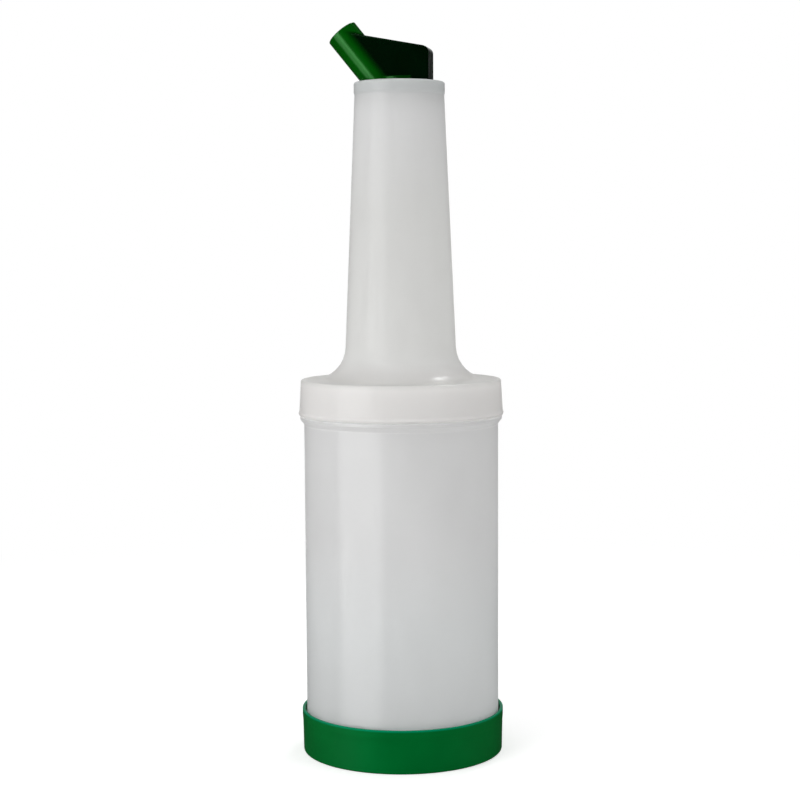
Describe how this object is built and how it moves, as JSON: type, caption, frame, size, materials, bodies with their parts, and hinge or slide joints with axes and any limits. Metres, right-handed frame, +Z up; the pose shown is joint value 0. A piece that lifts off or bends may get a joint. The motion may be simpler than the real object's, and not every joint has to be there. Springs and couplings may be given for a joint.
{
  "type": "pour bottle",
  "caption": "Translucent plastic bar bottle: cylindrical container, long conical neck, angled pour spout with a flat grip, and a storage cap pushed over the base.",
  "frame": {"origin": "centre of the storage cap's underside, on the surface that the bottle stands on", "axes": "+Z up along the bottle's axis, -X the way the spout pours, Y across the grip"},
  "size_m": [0.093, 0.093, 0.3299],
  "materials": {
    "container": "natural translucent polyethylene, satin",
    "neck": "natural translucent polyethylene, satin",
    "spout": "dark green moulded polypropylene, glossy",
    "base_cap": "green moulded polyethylene, satin"
  },
  "bodies": {
    "root": {"container": "container", "neck": "neck", "spout": "spout", "base_cap": "base_cap"}
  },
  "joints": []
}
